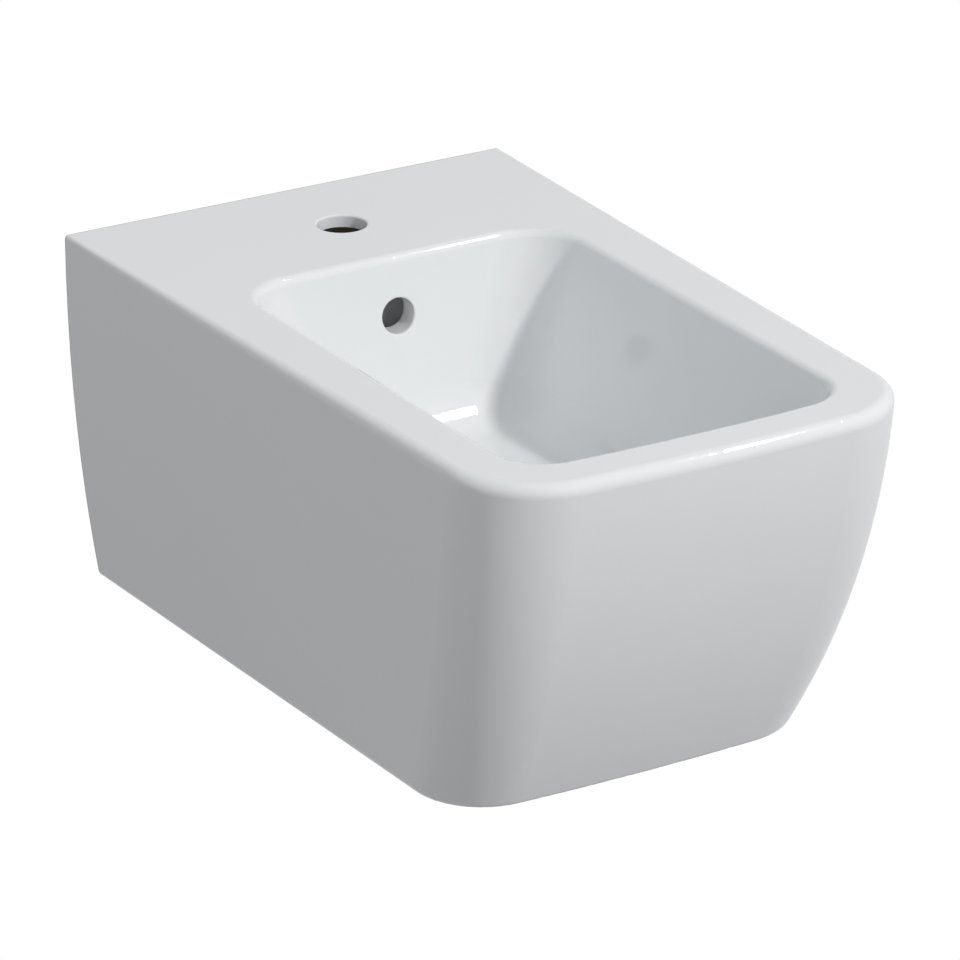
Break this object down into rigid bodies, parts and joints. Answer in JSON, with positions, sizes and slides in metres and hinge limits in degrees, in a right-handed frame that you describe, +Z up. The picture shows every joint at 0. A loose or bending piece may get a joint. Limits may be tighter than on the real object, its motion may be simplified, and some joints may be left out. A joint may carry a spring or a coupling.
{
  "type": "wall-hung bidet",
  "caption": "Wall-hung ceramic bidet: flat rim with tap deck, open bowl with overflow hole, hidden wall studs, and a push-open waste that drains through a bend into the wall.",
  "frame": {"origin": "on the wall face, half way between the axes of the wall studs", "axes": "+X across, to the right of someone who faces the wall; +Y out of the room, into the wall; +Z up"},
  "size_m": [0.35, 0.6188, 0.262],
  "materials": {
    "glaze": "gloss",
    "zinc_steel": "satin",
    "sleeve_plastic": "matte",
    "chrome": "polished",
    "seal_rubber": "matte",
    "slip_plastic": "satin",
    "brass": "satin",
    "cartridge_plastic": "satin",
    "spring_steel": "satin",
    "drain_plastic": "satin"
  },
  "bodies": {
    "casting": {"ceramic_body": "glaze", "wall_studs": "zinc_steel", "stud_sleeves": "sleeve_plastic", "stud_washers": "zinc_steel", "stud_nuts": "zinc_steel", "waste_body": "chrome", "waste_flange_seal": "seal_rubber", "waste_under_seal": "seal_rubber", "waste_slip_washer": "slip_plastic", "waste_backnut": "brass", "cartridge_sleeve": "cartridge_plastic", "cartridge_cap": "brass", "cartridge_spring": "spring_steel", "union_gasket": "seal_rubber", "union_nut": "drain_plastic", "drain_bend": "drain_plastic", "drain_pipe": "drain_plastic", "socket_seal": "seal_rubber", "socket_nut": "drain_plastic", "wall_rosette": "drain_plastic"},
    "plug": {"plug_cap": "chrome", "plug_seal": "seal_rubber", "plug_stem": "brass"}
  },
  "joints": [
    {"name": "plug_press", "type": "slide", "parent": "casting", "child": "plug", "axis": [0, 0, -1], "range_m": [0, 0.008], "stiffness_N_per_m": 1100, "springref_m": -0.008, "deforming": ["cartridge_spring"]}
  ]
}
